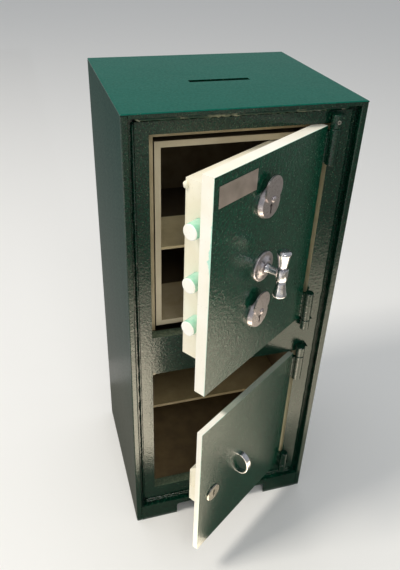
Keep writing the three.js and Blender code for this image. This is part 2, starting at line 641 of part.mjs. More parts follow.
// ---- upper door plate and bolt box ----
const upperBackFace = FRAME_FACE + UPPER_DOOR_THICK;
const doorX = [DOOR_FREE_X, DOOR_HINGE_X];
const throughUpper = [FRAME_FACE - 1, upperBackFace + 1];
const upperPlate = cut(
  box(doorX, [FRAME_FACE, upperBackFace], UPPER_DOOR_Z),
  rod("y", SPINDLE_R + RUNNING_FIT, throughUpper, [DOOR_AXIS_X, HANDLE_Z]),
  rod("y", 9, throughUpper, [KEY_AXIS_X, KEY_UPPER_Z - KEYHOLE_BELOW], 32),
  rod("y", 9, throughUpper, [KEY_AXIS_X, KEY_LOWER_Z - KEYHOLE_BELOW], 32),
);
put("upper_door_plate", upperPlate, enamel, upperSwing);

const boxBlock = box(BOX_X, [upperBackFace + GAP, BOX_BACK], BOX_Z);
const boxRoom = box([BOX_X[0] + BOX_SHEET, BOX_X[1] - BOX_SHEET], [upperBackFace, BOX_BACK - BOX_SHEET],
  [BOX_Z[0] + BOX_SHEET, BOX_Z[1] - BOX_SHEET]);
const boxMouth = box([BOX_X[0] + BOX_FLANGE, BOX_X[1] - BOX_FLANGE], [BOX_BACK - 3, BOX_BACK + 1],
  [BOX_Z[0] + BOX_FLANGE, BOX_Z[1] - BOX_FLANGE]);
const boxHoles = BOLT_Z.map((z) => rod("x", BOLT_R + GAP, [BOX_X[0] - 1, BOX_X[0] + 3], [BOLT_Y, z]));
put("bolt_box", cut(boxBlock, boxRoom, boxMouth, ...boxHoles), cream, upperSwing);

const coverFront = BOX_BACK + GAP;
const coverBack = coverFront + COVER_SHEET;
const screwHead = [[0, coverBack - 1], [COVER_SCREW_R, coverBack - 1], [COVER_SCREW_R, coverBack + 0.6],
  [3, coverBack + 2], [0, coverBack + 2.4]];
const screwHeads = [];
for (const x of [BOX_X[0] + SCREW_INSET, BOX_X[1] - SCREW_INSET]) {
  for (const z of [BOX_Z[0] + SCREW_INSET, BOX_Z[1] - SCREW_INSET]) {
    screwHeads.push(turned("y", screwHead, [x, z], 24));
  }
}
put("bolt_box_cover", union(box(BOX_X, [coverFront, coverBack], BOX_Z), ...screwHeads), cream, upperSwing);

// ---- bolt work: three bolts on one bar, drawn by the crank on the spindle ----
function roundBolt(z) {
  const chamfer = 1.5;
  const profile = [
    [0, BOLT_TIP_X],
    [BOLT_R - chamfer, BOLT_TIP_X],
    [BOLT_R, BOLT_TIP_X + chamfer],
    [BOLT_R, BOLT_END_X],
    [0, BOLT_END_X],
  ];
  return turned("x", profile, [BOLT_Y, z]);
}
put("bolt_low", roundBolt(BOLT_Z[0]), steel, upperSwing);
put("bolt_middle", roundBolt(BOLT_Z[1]), steel, upperSwing);
put("bolt_high", roundBolt(BOLT_Z[2]), steel, upperSwing);

// at rest the crank pin stands half the throw to the free side of the spindle
const crankX = DOOR_AXIS_X - BOLT_THROW / 2;
const crankZ = HANDLE_Z + BOLT_THROW / 2;
const barSlot = box([crankX - CRANK_PIN_R - CRANK_PLAY, crankX + CRANK_PIN_R + CRANK_PLAY],
  [BAR_Y[0] - 1, BAR_Y[1] + 1], [crankZ - CRANK_PIN_R - 2, HANDLE_Z + CRANK_RADIUS + CRANK_PIN_R + 2]);
const bar = cut(
  union(box(BAR_X, BAR_Y, BAR_Z), box([BAR_X[1] - BAR_MARGIN, crankX + 11], BAR_Y, BAR_ARM_Z)),
  barSlot,
);
put("bolt_bar", bar, steel, upperSwing);

function barGuide(end, side) {
  const past = side * (GUIDE_THICK - GUIDE_GRIP);
  const zs = [end - side * GUIDE_GRIP, end + past].sort((a, b) => a - b);
  const block = box(GUIDE_X, [upperBackFace + GAP, BAR_Y[1] + 4], zs);
  const groove = box([GUIDE_X[0] - 1, GUIDE_X[1] + 1], [BAR_Y[0] - 0.4, BAR_Y[1] + 0.4],
    side > 0 ? [zs[0] - 1, end + 0.6] : [end - 0.6, zs[1] + 1]);
  return cut(block, groove);
}
put("bar_guide_high", barGuide(BAR_Z[1], 1), steel, upperSwing);
put("bar_guide_low", barGuide(BAR_Z[0], -1), steel, upperSwing);

// ---- T-handle ----
const handleLine = [DOOR_AXIS_X, HANDLE_Z];
const grip = [DOOR_AXIS_X, TBAR_Y];
const roseBack = FRAME_FACE - GAP;
const roseFront = roseBack - ROSE_HIGH;
const spindleProfile = [
  [0, TBAR_Y],
  [SPINDLE_NECK_R, TBAR_Y],
  [SPINDLE_BOSS_R, roseFront - GAP - 1],
  [SPINDLE_R, roseFront - GAP],
  [SPINDLE_R, SPINDLE_END_Y],
  [0, SPINDLE_END_Y],
];
const spindle = turned("y", spindleProfile, handleLine);
const hub = rod("z", HUB_R, [HANDLE_Z - HUB_HALF, HANDLE_Z + HUB_HALF], grip);
put("handle_spindle", union(spindle, hub), chrome, upperSwing);

function gripEnd(side) {
  const reach = [
    [0, HUB_HALF + GAP],
    [6.6, HUB_HALF + GAP],
    [7.2, 17],
    [10.7, 37],
    [11.7, 37.8],
    [12, 39.4],
    [11.6, 41.2],
    [10.2, 43.4],
    [8.2, 44.6],
    [4.6, 44.4],
    [4, GRIP_REACH],
    [0, GRIP_REACH],
  ];
  return turned("z", reach.map(([r, h]) => [r, HANDLE_Z + side * h]), grip);
}
put("handle_grip_up", gripEnd(1), chrome, upperSwing);
put("handle_grip_down", gripEnd(-1), chrome, upperSwing);

const armAngle = Math.atan2(crankZ - HANDLE_Z, crankX - DOOR_AXIS_X);
const armGeometry = new THREE.BoxGeometry(CRANK_RADIUS, CRANK_Y[1] - CRANK_Y[0], 12);
armGeometry.translate(CRANK_RADIUS / 2, 0, 0);
armGeometry.rotateY(-armAngle);
armGeometry.translate(DOOR_AXIS_X, (CRANK_Y[0] + CRANK_Y[1]) / 2, HANDLE_Z);
const crank = cut(
  union(
    rod("y", 12, CRANK_Y, handleLine, 40),
    solidOf(armGeometry),
    rod("y", 6, CRANK_Y, [crankX, crankZ], 32),
    rod("y", CRANK_PIN_R, [CRANK_Y[0] + 1, BAR_Y[1] - 1], [crankX, crankZ], 32),
  ),
  rod("y", SPINDLE_R + 0.15, [CRANK_Y[0] - 1, CRANK_Y[1] + 1], handleLine),
);
put("handle_crank", crank, steel, upperSwing);

const roseProfile = closedProfile([
  [SPINDLE_R + 0.4, roseBack],
  [ROSE_R, roseBack],
  [ROSE_R, roseBack - 2.2],
  [ROSE_R - 1.6, roseBack - 3.2],
  [ROSE_R * 0.74, roseBack - ROSE_HIGH * 0.42],
  [ROSE_R * 0.56, roseBack - ROSE_HIGH * 0.64],
  [ROSE_R * 0.44, roseBack - ROSE_HIGH * 0.93],
  [SPINDLE_R + 0.4, roseFront],
]);
put("handle_rose", turned("y", roseProfile, handleLine), chrome, upperSwing);

// ---- keyed locks of the upper door ----
function keyhole(x, z, ys) {
  const bowZ = z + KEYHOLE_DROP - KEYHOLE_R;
  const bow = rod("y", KEYHOLE_R, ys, [x, bowZ], 24);
  const blade = box([x - KEYHOLE_SLOT / 2, x + KEYHOLE_SLOT / 2], ys, [z - KEYHOLE_DROP, bowZ]);
  return union(bow, blade);
}

function escutcheon(z) {
  const back = FRAME_FACE - GAP;
  const profile = [
    [0, back],
    [ESCUTCHEON_R, back],
    [ESCUTCHEON_R, back - 2],
    [ESCUTCHEON_R - 2.4, ESCUTCHEON_FACE],
    [0, ESCUTCHEON_FACE],
  ];
  return cut(
    turned("y", profile, [KEY_AXIS_X, z]),
    keyhole(KEY_AXIS_X, z - KEYHOLE_BELOW, [ESCUTCHEON_FACE - 1, back + 1]),
    rod("y", RIVET_R + 0.1, [ESCUTCHEON_FACE - 1, RIVET_FOOT + 0.4], [KEY_AXIS_X, z + RIVET_ABOVE], 24),
  );
}
put("escutcheon_high", escutcheon(KEY_UPPER_Z), chrome, upperSwing);
put("escutcheon_low", escutcheon(KEY_LOWER_Z), chrome, upperSwing);

// a disc drawn in to a round tip where the rivet holds it
function keyCover(z) {
  const lean = Math.asin((COVER_DISC_R - COVER_TIP_R) / COVER_DISC_ABOVE);
  const pivotZ = z + RIVET_ABOVE;
  const shape = new THREE.Shape();
  shape.absarc(KEY_AXIS_X, pivotZ + COVER_DISC_ABOVE, COVER_DISC_R, -lean, Math.PI + lean, false);
  shape.absarc(KEY_AXIS_X, pivotZ, COVER_TIP_R, Math.PI + lean, 2 * Math.PI - lean, false);
  const front = ESCUTCHEON_FACE - GAP - COVER_THICK;
  const plate = prismY(shape, [front, ESCUTCHEON_FACE - GAP], 24);
  return cut(plate, rod("y", RIVET_R + 0.1, [front - 1, ESCUTCHEON_FACE], [KEY_AXIS_X, pivotZ], 24));
}
put("key_cover_high", keyCover(KEY_UPPER_Z), chrome, upperSwing);
put("key_cover_low", keyCover(KEY_LOWER_Z), chrome, upperSwing);

function coverRivet(z) {
  const under = ESCUTCHEON_FACE - 2 * GAP - COVER_THICK;
  const profile = [
    [0, RIVET_FOOT],
    [RIVET_R, RIVET_FOOT],
    [RIVET_R, under],
    [5.4, under],
    [5, under - 1.3],
    [2.6, under - 2.2],
    [0, under - 2.4],
  ];
  return turned("y", profile, [KEY_AXIS_X, z + RIVET_ABOVE], 24);
}
put("cover_rivet_high", coverRivet(KEY_UPPER_Z), chrome, upperSwing);
put("cover_rivet_low", coverRivet(KEY_LOWER_Z), chrome, upperSwing);

function lockCase(z) {
  const ys = [upperBackFace + GAP, upperBackFace + GAP + LOCK_CASE_DEPTH];
  const body = box(LOCK_CASE_X, ys, [z - LOCK_CASE_BELOW, z + LOCK_CASE_ABOVE]);
  return cut(body, keyhole(KEY_AXIS_X, z - KEYHOLE_BELOW, [ys[0] - 1, ys[1] - 6]));
}
put("lock_case_high", lockCase(KEY_UPPER_Z), steel, upperSwing);
put("lock_case_low", lockCase(KEY_LOWER_Z), steel, upperSwing);

const labelY = [FRAME_FACE - GAP - LABEL_THICK, FRAME_FACE - GAP];
put("label_plate", box(LABEL_X, labelY, LABEL_Z), steel, upperSwing);

// ---- lower door ----
const lowerBackFace = FRAME_FACE + LOWER_DOOR_THICK;
const lowerPlate = cut(
  box(doorX, [FRAME_FACE, lowerBackFace], LOWER_DOOR_Z),
  rod("y", 8, [FRAME_FACE - 1, lowerBackFace + 1], [LOCKER_KEY_X, LOCKER_KEY_Z], 32),
);
put("lower_door_plate", lowerPlate, enamel, lowerSwing);

const caseFront = lowerBackFace + GAP;
const caseSide = [
  [caseFront, LOCKER_CASE_Z[0]],
  [LOCKER_CASE_BACK, LOCKER_CASE_Z[0]],
  [LOCKER_CASE_BACK, LOCKER_CASE_Z[1] - LOCKER_CASE_SLOPE],
  [caseFront, LOCKER_CASE_Z[1]],
];
const boltPocket = box([LOCKER_CASE_X[0] - 1, LOCKER_CASE_X[0] + LOCK_BOLT_LENGTH + 1.5],
  [LOCK_BOLT_Y[0] - GAP, LOCK_BOLT_Y[1] + GAP], [LOCK_BOLT_Z[0] - GAP, LOCK_BOLT_Z[1] + GAP]);
const lockerCase = cut(
  prismX(caseSide, LOCKER_CASE_X),
  boltPocket,
  keyhole(LOCKER_KEY_X, LOCKER_KEY_Z, [caseFront - 1, LOCKER_CASE_BACK - 2 * LOCKER_CASE_WALL]),
);
put("locker_lock_case", lockerCase, cream, lowerSwing);
const boltX = [LOCKER_CASE_X[0] + 0.4, LOCKER_CASE_X[0] + 0.4 + LOCK_BOLT_LENGTH];
put("locker_lock_bolt", box(boltX, LOCK_BOLT_Y, LOCK_BOLT_Z), steel, lowerSwing);

const lockerDisc = [
  [0, FRAME_FACE - GAP],
  [LOCKER_ESCUTCHEON_R, FRAME_FACE - GAP],
  [LOCKER_ESCUTCHEON_R, FRAME_FACE - GAP - LOCKER_ESCUTCHEON_THICK / 2],
  [LOCKER_ESCUTCHEON_R - 1.2, FRAME_FACE - GAP - LOCKER_ESCUTCHEON_THICK],
  [0, FRAME_FACE - GAP - LOCKER_ESCUTCHEON_THICK],
];
const lockerEscutcheon = cut(
  turned("y", lockerDisc, [LOCKER_KEY_X, LOCKER_KEY_Z]),
  keyhole(LOCKER_KEY_X, LOCKER_KEY_Z, [0, 15]),
);
put("locker_escutcheon", lockerEscutcheon, chrome, lowerSwing);

// flat strap bent to a half ring, its ends on the door
function halfRing() {
  const steps = 28;
  const outer = [];
  const inner = [];
  for (let i = 0; i <= steps; i += 1) {
    const angle = Math.PI * (i / steps) - Math.PI / 2;
    const out = Math.cos(angle);
    const up = Math.sin(angle);
    outer.push([FRAME_FACE - GAP - out * PULL_REACH, PULL_Z + up * PULL_HALF_HEIGHT]);
    inner.push([
      FRAME_FACE - GAP - out * (PULL_REACH - PULL_THICK),
      PULL_Z + up * (PULL_HALF_HEIGHT - PULL_THICK),
    ]);
  }
  const half = PULL_WIDTH / 2;
  return prismX([...outer, ...inner.reverse()], [PULL_X - half, PULL_X + half]);
}
put("half_ring_pull", halfRing(), chrome, lowerSwing);

export default group;
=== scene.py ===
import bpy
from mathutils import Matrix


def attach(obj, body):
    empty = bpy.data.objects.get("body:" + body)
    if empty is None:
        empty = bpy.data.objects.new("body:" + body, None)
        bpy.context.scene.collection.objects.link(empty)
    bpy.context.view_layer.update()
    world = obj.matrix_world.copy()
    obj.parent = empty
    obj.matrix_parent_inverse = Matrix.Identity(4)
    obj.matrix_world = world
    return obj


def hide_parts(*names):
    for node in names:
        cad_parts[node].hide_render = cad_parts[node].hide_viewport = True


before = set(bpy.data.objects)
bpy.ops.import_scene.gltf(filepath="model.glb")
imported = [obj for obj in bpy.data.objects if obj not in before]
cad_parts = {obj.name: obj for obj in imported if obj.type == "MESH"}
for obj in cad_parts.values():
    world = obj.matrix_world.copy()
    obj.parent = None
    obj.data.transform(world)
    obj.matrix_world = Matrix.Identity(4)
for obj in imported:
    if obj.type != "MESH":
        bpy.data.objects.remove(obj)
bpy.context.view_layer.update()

import math

import bmesh
import bpy
from mathutils import Matrix, Vector, noise

# A steel drop safe with both doors standing ajar. Pieces are drawn in millimetres on the closed
# cabinet, with its front plane at y 0 and the floor at z 0, and then put where the frame has them.
MM = 0.001
DEPTH = 375.0
HALF_WIDTH = 210.0
HEIGHT = 980.0
RIM_INSIDE = 198.0       # the front rim turns back into the groove here
CABINET = Matrix.Translation((0, -DEPTH / 2 * MM, 0)) @ Matrix.Scale(MM, 4)
HINGE_X = 155.0
HINGE_Y = 1.2
HINGE = Vector((HINGE_X * MM, (HINGE_Y - DEPTH / 2) * MM, 0))
SWING = math.radians(34.2)
AJAR = (
    Matrix.Translation(HINGE) @ Matrix.Rotation(SWING, 4, "Z") @ Matrix.Translation(-HINGE) @ CABINET
)
FRONT = 12.0             # the frame plate and both door plates show their faces here
MINT_HEIGHT = 835.0      # the enamel ran widest over the upper door's edge here
HANDLE_X = -16.5
HANDLE_Z = 737.0
TBAR_Y = -27.0
BOLT_FACE_X = -149.5     # the thrown bolts' ends lie beyond this

# ---- camera, fitted to the straight edges of the photographed cabinet ----
CAMERA_AT = Vector((-0.3493, -1.0572, 1.2536))
HEADING = math.radians(17.51)
DOWN = math.radians(33.235)
ROLL = math.radians(2.136)
FOCAL_PIXELS = 590.64
SENSOR = 36.0
IMAGE_WIDTH = 400

ahead = Vector((
    math.sin(HEADING) * math.cos(DOWN),
    math.cos(HEADING) * math.cos(DOWN),
    -math.sin(DOWN),
))
level = ahead.cross(Vector((0, 0, 1))).normalized()
upright = level.cross(ahead)
right = level * math.cos(ROLL) + upright * math.sin(ROLL)
up = upright * math.cos(ROLL) - level * math.sin(ROLL)
turn = Matrix((right, up, -ahead)).transposed().to_4x4()

camera_data = bpy.data.cameras.new("view")
camera_data.sensor_fit = "HORIZONTAL"
camera_data.sensor_width = SENSOR
camera_data.lens = FOCAL_PIXELS / IMAGE_WIDTH * SENSOR
camera_data.clip_start = 0.05
camera_data.clip_end = 60
camera = bpy.data.objects.new("view", camera_data)
camera.matrix_world = Matrix.Translation(CAMERA_AT) @ turn
bpy.context.scene.collection.objects.link(camera)
bpy.context.scene.camera = camera


# ---- materials ----
def linear(hex_colour):
    """An sRGB hex colour as the linear red, green, blue and alpha that a node wants."""
    channels = [int(hex_colour[i:i + 2], 16) / 255 for i in (1, 3, 5)]
    return [c / 12.92 if c <= 0.04045 else ((c + 0.055) / 1.055) ** 2.4 for c in channels] + [1.0]


def add(tree, kind, inputs, **settings):
    """One node with its settings; each input is a plain value or another node's output."""
    node = tree.nodes.new(kind)
    for name, value in settings.items():
        setattr(node, name, value)
    for key, value in inputs.items():
        if isinstance(value, bpy.types.NodeSocket):
            tree.links.new(value, node.inputs[key])
        else:
            node.inputs[key].default_value = value
    return node


def begin(name):
    """An empty material with its surface shader, and the coordinates of the piece."""
    made = bpy.data.materials.new(name)
    made.use_nodes = True
    tree = made.node_tree
    tree.nodes.clear()
    shader = add(tree, "ShaderNodeBsdfPrincipled", {})
    add(tree, "ShaderNodeOutputMaterial", {"Surface": shader.outputs[0]})
    place = add(tree, "ShaderNodeTexCoord", {}).outputs["Object"]
    return made, tree, shader, place


def grain(tree, place, millimetres, detail=2.0, rough=0.5, distortion=0.0):
    """Noise whose blotches are about so many millimetres across."""
    settings = {"Vector": place, "Scale": 1 / (millimetres * MM), "Detail": detail,
                "Roughness": rough, "Distortion": distortion}
    return add(tree, "ShaderNodeTexNoise", settings).outputs["Fac"]


def between(tree, value, low, high, out_low, out_high):
    """Stretches a value from one range to another, and stops at its ends."""
    settings = {"Value": value, "From Min": low, "From Max": high, "To Min": out_low, "To Max": out_high}
    return add(tree, "ShaderNodeMapRange", settings).outputs[0]


def blend(tree, factor, first, second):
    """A colour between two others; a hex string or a node's output."""
    first = linear(first) if isinstance(first, str) else first
    second = linear(second) if isinstance(second, str) else second
    settings = {0: factor, 6: first, 7: second}
    return add(tree, "ShaderNodeMix", settings, data_type="RGBA").outputs[2]


def relief(tree, shader, layers):
    """Bumps laid over each other; each layer is a height, its depth in millimetres and its strength."""
    normal = None
    for height, depth, strength in layers:
        inputs = {"Height": height, "Distance": depth * MM, "Strength": strength}
        if normal is not None:
            inputs["Normal"] = normal
        normal = add(tree, "ShaderNodeBump", inputs).outputs[0]
    tree.links.new(normal, shader.inputs["Normal"])


def gloss_enamel(name, pit, hill, sheen, level, peel_depth, dust_and_glint="#6d8069", painted_sheen_foot=False):
    """Bottle-green gloss enamel, sprayed on unfilled plate. The hills of its orange peel, drawn 5 mm
    across so that it shows, are painted lighter than its pits as a painted speckle of highlight, and
    slow waves in the plate bend what the gloss mirrors. Pale specks are dust in the wet coat and
    partly painted glints. Where the coat went on drier, its sheen, the roughness over hills and pits,
    is broader. The foot option greys it toward the floor, a painted reflection of the pale ground."""
    made, tree, shader, place = begin(name)
    peel = grain(tree, place, 5.0, 3, 0.6)
    hills = between(tree, peel, 0.36, 0.62, 0.0, 1.0)
    cloud = between(tree, grain(tree, place, 110, 3), 0.35, 0.68, 0.0, 0.35)
    # peel hills painted lighter than pits: a painted speckle of highlight
    colour = blend(tree, cloud, blend(tree, hills, pit, hill), hill)
    # pale specks: dust in the wet coat, and partly painted glints
    specks = between(tree, grain(tree, place, 2.6, 1), 0.68, 0.75, 0.0, 0.5)
    colour = blend(tree, specks, colour, dust_and_glint)
    if painted_sheen_foot:
        # greyer toward the floor: a painted reflection of the pale ground
        height = add(tree, "ShaderNodeSeparateXYZ", {0: place}).outputs["Z"]
        colour = blend(tree, between(tree, height, 0.25, 0.95, 0.42, 0.0), colour, "#77706a")
    tree.links.new(colour, shader.inputs["Base Color"])
    tree.links.new(between(tree, hills, 0, 1, sheen[1], sheen[0]), shader.inputs["Roughness"])
    shader.inputs["IOR"].default_value = 1.5
    shader.inputs["Specular IOR Level"].default_value = level
    waves = grain(tree, place, 60, 2, 0.4, 0.6)
    relief(tree, shader, [(waves, 3.0, 0.2), (peel, peel_depth, 0.6)])
    return made


def cream_paint(name, light, dark, mint_edge=0.0, upper_door_shadow_from=None):
    """Cream semi-gloss paint over steel, a little uneven and yellowed. On a door's edges the green
    of its face runs over in a ragged line, so mint_edge is how far, in millimetres. The optional start,
    in millimetres along the closed door, is where a grey-green painted shadow of the upper door begins."""
    made, tree, shader, place = begin(name)
    patch = between(tree, grain(tree, place, 60, 4), 0.3, 0.75, 0.0, 1.0)
    colour = blend(tree, patch, light, dark)
    if mint_edge:
        back = Matrix.Rotation(-SWING, 4, "Z")
        shift = HINGE - back @ HINGE
        shut = {"Vector": place, "Location": shift, "Rotation": (0, 0, -SWING)}
        local = add(tree, "ShaderNodeMapping", shut).outputs[0]
        parts = add(tree, "ShaderNodeSeparateXYZ", {0: local})
        depth = parts.outputs["Y"]
        face = (FRONT - DEPTH / 2) * MM
        above = {0: parts.outputs["Z"], 1: MINT_HEIGHT * MM}
        above = add(tree, "ShaderNodeMath", above, operation="SUBTRACT").outputs[0]
        away = add(tree, "ShaderNodeMath", {0: above}, operation="ABSOLUTE").outputs[0]
        most = between(tree, away, 30 * MM, 55 * MM, mint_edge * MM, 0.8 * MM)
        ragged = between(tree, grain(tree, place, 45, 5, 0.65), 0.4, 0.64, 0.2 * MM, most)
        shadow_line_depth = add(tree, "ShaderNodeMath", {0: depth, 1: ragged}, operation="SUBTRACT").outputs[0]
        bleed = between(tree, shadow_line_depth, face - 0.5 * MM, face + 0.8 * MM, 0.8, 0.0)
        colour = blend(tree, bleed, colour, "#a4e3cd")
        if upper_door_shadow_from is not None:
            begins = (upper_door_shadow_from - 6) * MM
            shadow_fade = between(tree, parts.outputs["X"], begins, begins + 12 * MM, 0.0, 0.85)
            # grey-green beyond the start: a painted shadow of the upper door
            colour = blend(tree, shadow_fade, colour, "#66756a")
    speck = between(tree, grain(tree, place, 3.0, 2), 0.7, 0.76, 0.0, 0.4)
    tree.links.new(blend(tree, speck, colour, "#8f8468"), shader.inputs["Base Color"])
    shader.inputs["Roughness"].default_value = 0.36
    shader.inputs["IOR"].default_value = 1.5
    wave, peel = grain(tree, place, 30, 2), grain(tree, place, 3.2, 2)
    relief(tree, shader, [(wave, 1.2, 0.2), (peel, 0.3, 0.35)])
    return made


def primer(name, light, dark, shadow_line_depth=None):
    """Brown-grey primer, sprayed thin and left bare inside: matt, dusty and blotched. An optional depth,
    in millimetres behind the front plane, is a painted shadow line: beyond it the coat is painted dark."""
    made, tree, shader, place = begin(name)
    blotch = between(tree, grain(tree, place, 45, 5, 0.6), 0.3, 0.72, 0.0, 1.0)
    colour = blend(tree, blotch, light, dark)
    scuff = between(tree, grain(tree, place, 5, 4, 0.7, 1.5), 0.62, 0.72, 0.0, 0.35)
    colour = blend(tree, scuff, colour, "#8b7c60")
    # past the given depth the coat is painted dark: a painted shadow line
    if shadow_line_depth is not None:
        inward = add(tree, "ShaderNodeSeparateXYZ", {0: place}).outputs["Y"]
        limit = shadow_line_depth - DEPTH / 2
        painted_light_mask = between(tree, inward, (limit - 1) * MM, (limit + 1) * MM, 0.0, 1.0)
        colour = blend(tree, painted_light_mask, colour, "#453b2b")
    tree.links.new(colour, shader.inputs["Base Color"])
    tree.links.new(between(tree, blotch, 0, 1, 0.55, 0.75), shader.inputs["Roughness"])
    grit, dents = grain(tree, place, 2.0, 3), grain(tree, place, 40, 1)
    relief(tree, shader, [(grit, 0.25, 0.5), (dents, 1.5, 0.2)])
    return made


def plated(name, light, dark, low, high):
    """Chrome or nickel on zinc castings: mirror-like where it is clean, dulled by finger smears and
    hairline scratches; low and high are the roughness of the clean and the smeared places."""
    made, tree, shader, place = begin(name)
    smear = grain(tree, place, 14, 4, 0.6, 1.0)
    colour = blend(tree, between(tree, smear, 0.35, 0.7, 0, 1), light, dark)
    tree.links.new(colour, shader.inputs["Base Color"])
    shader.inputs["Metallic"].default_value = 1.0
    tree.links.new(between(tree, smear, 0.35, 0.7, low, high), shader.inputs["Roughness"])
    casting, scratches = grain(tree, place, 9, 2), grain(tree, place, 0.9, 2)
    relief(tree, shader, [(casting, 0.5, 0.15), (scratches, 0.04, 0.3)])
    return made


def plain_steel(name, light, dark, rough):
    """Turned or sheared mild steel: dull grey, with fine tool lines and a film of oil."""
    made, tree, shader, place = begin(name)
    stretch = add(tree, "ShaderNodeMapping", {"Vector": place, "Scale": (1, 1, 9)}).outputs[0]
    lines = grain(tree, stretch, 7, 4, 0.7)
    stain = grain(tree, place, 25, 4)
    colour = blend(tree, between(tree, stain, 0.35, 0.7, 0, 1), light, dark)
    tree.links.new(colour, shader.inputs["Base Color"])
    shader.inputs["Metallic"].default_value = 0.9
    dull = between(tree, lines, 0.3, 0.7, rough - 0.08, rough + 0.12)
    tree.links.new(dull, shader.inputs["Roughness"])
    relief(tree, shader, [(lines, 0.08, 0.4)])
    return made


def seam_enamel():
    """Enamel brushed over weld metal, standing thick and wet-looking between its crests. The
    crests are pale and streaky: weld showing through, and partly painted highlights."""
    made, tree, shader, place = begin("enamel_on_weld_with_painted_highlights")
    along = add(tree, "ShaderNodeMapping", {"Vector": place, "Scale": (0.1, 1, 0.14)}).outputs[0]
    crest = grain(tree, along, 5, 5, 0.65, 0.5)
    painted_light_mask = between(tree, crest, 0.5, 0.62, 0.0, 0.7)
    # pale crests: weld showing through, and partly painted highlights
    tree.links.new(blend(tree, painted_light_mask, "#0b3524", "#95967a"), shader.inputs["Base Color"])
    tree.links.new(between(tree, crest, 0.4, 0.65, 0.1, 0.3), shader.inputs["Roughness"])
    shader.inputs["IOR"].default_value = 1.5
    relief(tree, shader, [(crest, 1.2, 0.5)])
    return made


def mint_lacquer():
    """The bolts' barrels: white lacquer tinted mint by the green it was let down with."""
    made, tree, shader, place = begin("mint_white_lacquer")
    patch = between(tree, grain(tree, place, 16, 3), 0.35, 0.65, 0.0, 1.0)
    tree.links.new(blend(tree, patch, "#8fd3b8", "#bfe3cf"), shader.inputs["Base Color"])
    shader.inputs["Roughness"].default_value = 0.3
    relief(tree, shader, [(grain(tree, place, 3, 2), 0.2, 0.3)])
    return made


GREEN = gloss_enamel("bottle_green_gloss_enamel", "#021a11", "#073123", (0.09, 0.2), 0.48, 0.85,
                     dust_and_glint="#66785f")
# the doors' specks are brighter: dust and painted glints
GREEN_DOOR = gloss_enamel("bottle_green_enamel_on_doors", "#04271b", "#0a4531", (0.1, 0.22), 0.42, 1.0,
                          dust_and_glint="#8c9a86")
# the top sheet's lighter green is painted light from above
GREEN_TOP_LIT = gloss_enamel("bottle_green_enamel_painted_lit_on_top", "#064c40", "#09584b", (0.3, 0.36), 0.06,
                         0.08)
# the side's foot greys toward the floor as a painted reflection of the ground
GREEN_SIDE = gloss_enamel("bottle_green_enamel_dry_coat_with_painted_sheen", "#052821", "#08352c", (0.34, 0.4), 0.04, 0.25,
                          painted_sheen_foot=True)
CREAM = cream_paint("cream_semi_gloss_paint", "#f3eedb", "#ebe3c8")
DOOR_CREAM = cream_paint("cream_door_edge_paint", "#f8f5ea", "#f1ebd8", mint_edge=7.0)
# the lower door's top edge carries a painted shadow of the upper door
SHADOWED_CREAM = cream_paint("cream_edge_paint_with_painted_shadow", "#f8f5ea", "#f1ebd8", mint_edge=0.5,
                           upper_door_shadow_from=-92)
# the inner body's cream, darkened to stone grey as painted shade
CREAM_DARKENED_AS_SHADE = cream_paint("cream_body_paint_darkened_as_shade", "#c9bea4", "#b8ac90")
BROWN = primer("brown_grey_primer", "#7d6a49", "#62523a")
# the sills' greyer, lighter green is a painted sheen
SILL_SHEEN = gloss_enamel("enamel_on_sills_with_painted_sheen", "#3c4d40", "#66745f", (0.16, 0.28), 0.5, 0.3)
SHELF_BROWN = primer("shelf_primer", "#a8966e", "#907f5a")
# upper shelf: a light coat painted as lit, dark beyond 225 mm as painted shadow
SHELF_LIT_TAN = primer("primer_on_the_shelf_with_painted_light_and_shadow", "#f0e0b4", "#d6c596", shadow_line_depth=225)
# inner body's floor: painted lit in front, dark beyond 165 mm as painted shadow
FLOOR_LIT_TAN = primer("primer_on_the_floor_with_painted_light_and_shadow", "#bdb092", "#a39474", shadow_line_depth=165)
# primer darkened as painted shade, for the upper compartment's walls
BROWN_DARKENED_AS_SHADE = primer("primer_darkened_as_shade", "#75674f", "#5b4e38")
REBATE = primer("primer_in_the_rebate", "#b5a684", "#988a6a")
# the hinge-side reveal's lighter primer is painted light
REVEAL_LIT_TAN = primer("primer_painted_lit_in_the_reveals", "#d8d0ac", "#bcb18c")
CHROME = plated("bright_chrome_plate", "#dedde0", "#bdbbc0", 0.16, 0.28)
NICKEL = plated("worn_nickel_plate", "#d2cacd", "#aba2a3", 0.26, 0.4)
TARNISHED = plated("tarnished_nickel_plate", "#a5a19a", "#726f69", 0.2, 0.36)
STEEL = plain_steel("turned_mild_steel", "#b6b4ae", "#8d8a83", 0.35)
LABEL = plain_steel("blank_label_aluminium", "#c9bbb2", "#aea197", 0.38)
MINT = mint_lacquer()
SEAM_WITH_PAINTED_HIGHLIGHTS = seam_enamel()
EDGE_CREAM = cream_paint("cream_edge_paint", "#f8f5ea", "#f1ebd8", mint_edge=0.5)
BOLT_FACE = cream_paint("white_bolt_face_lacquer", "#fbfaf3", "#f2efe2")


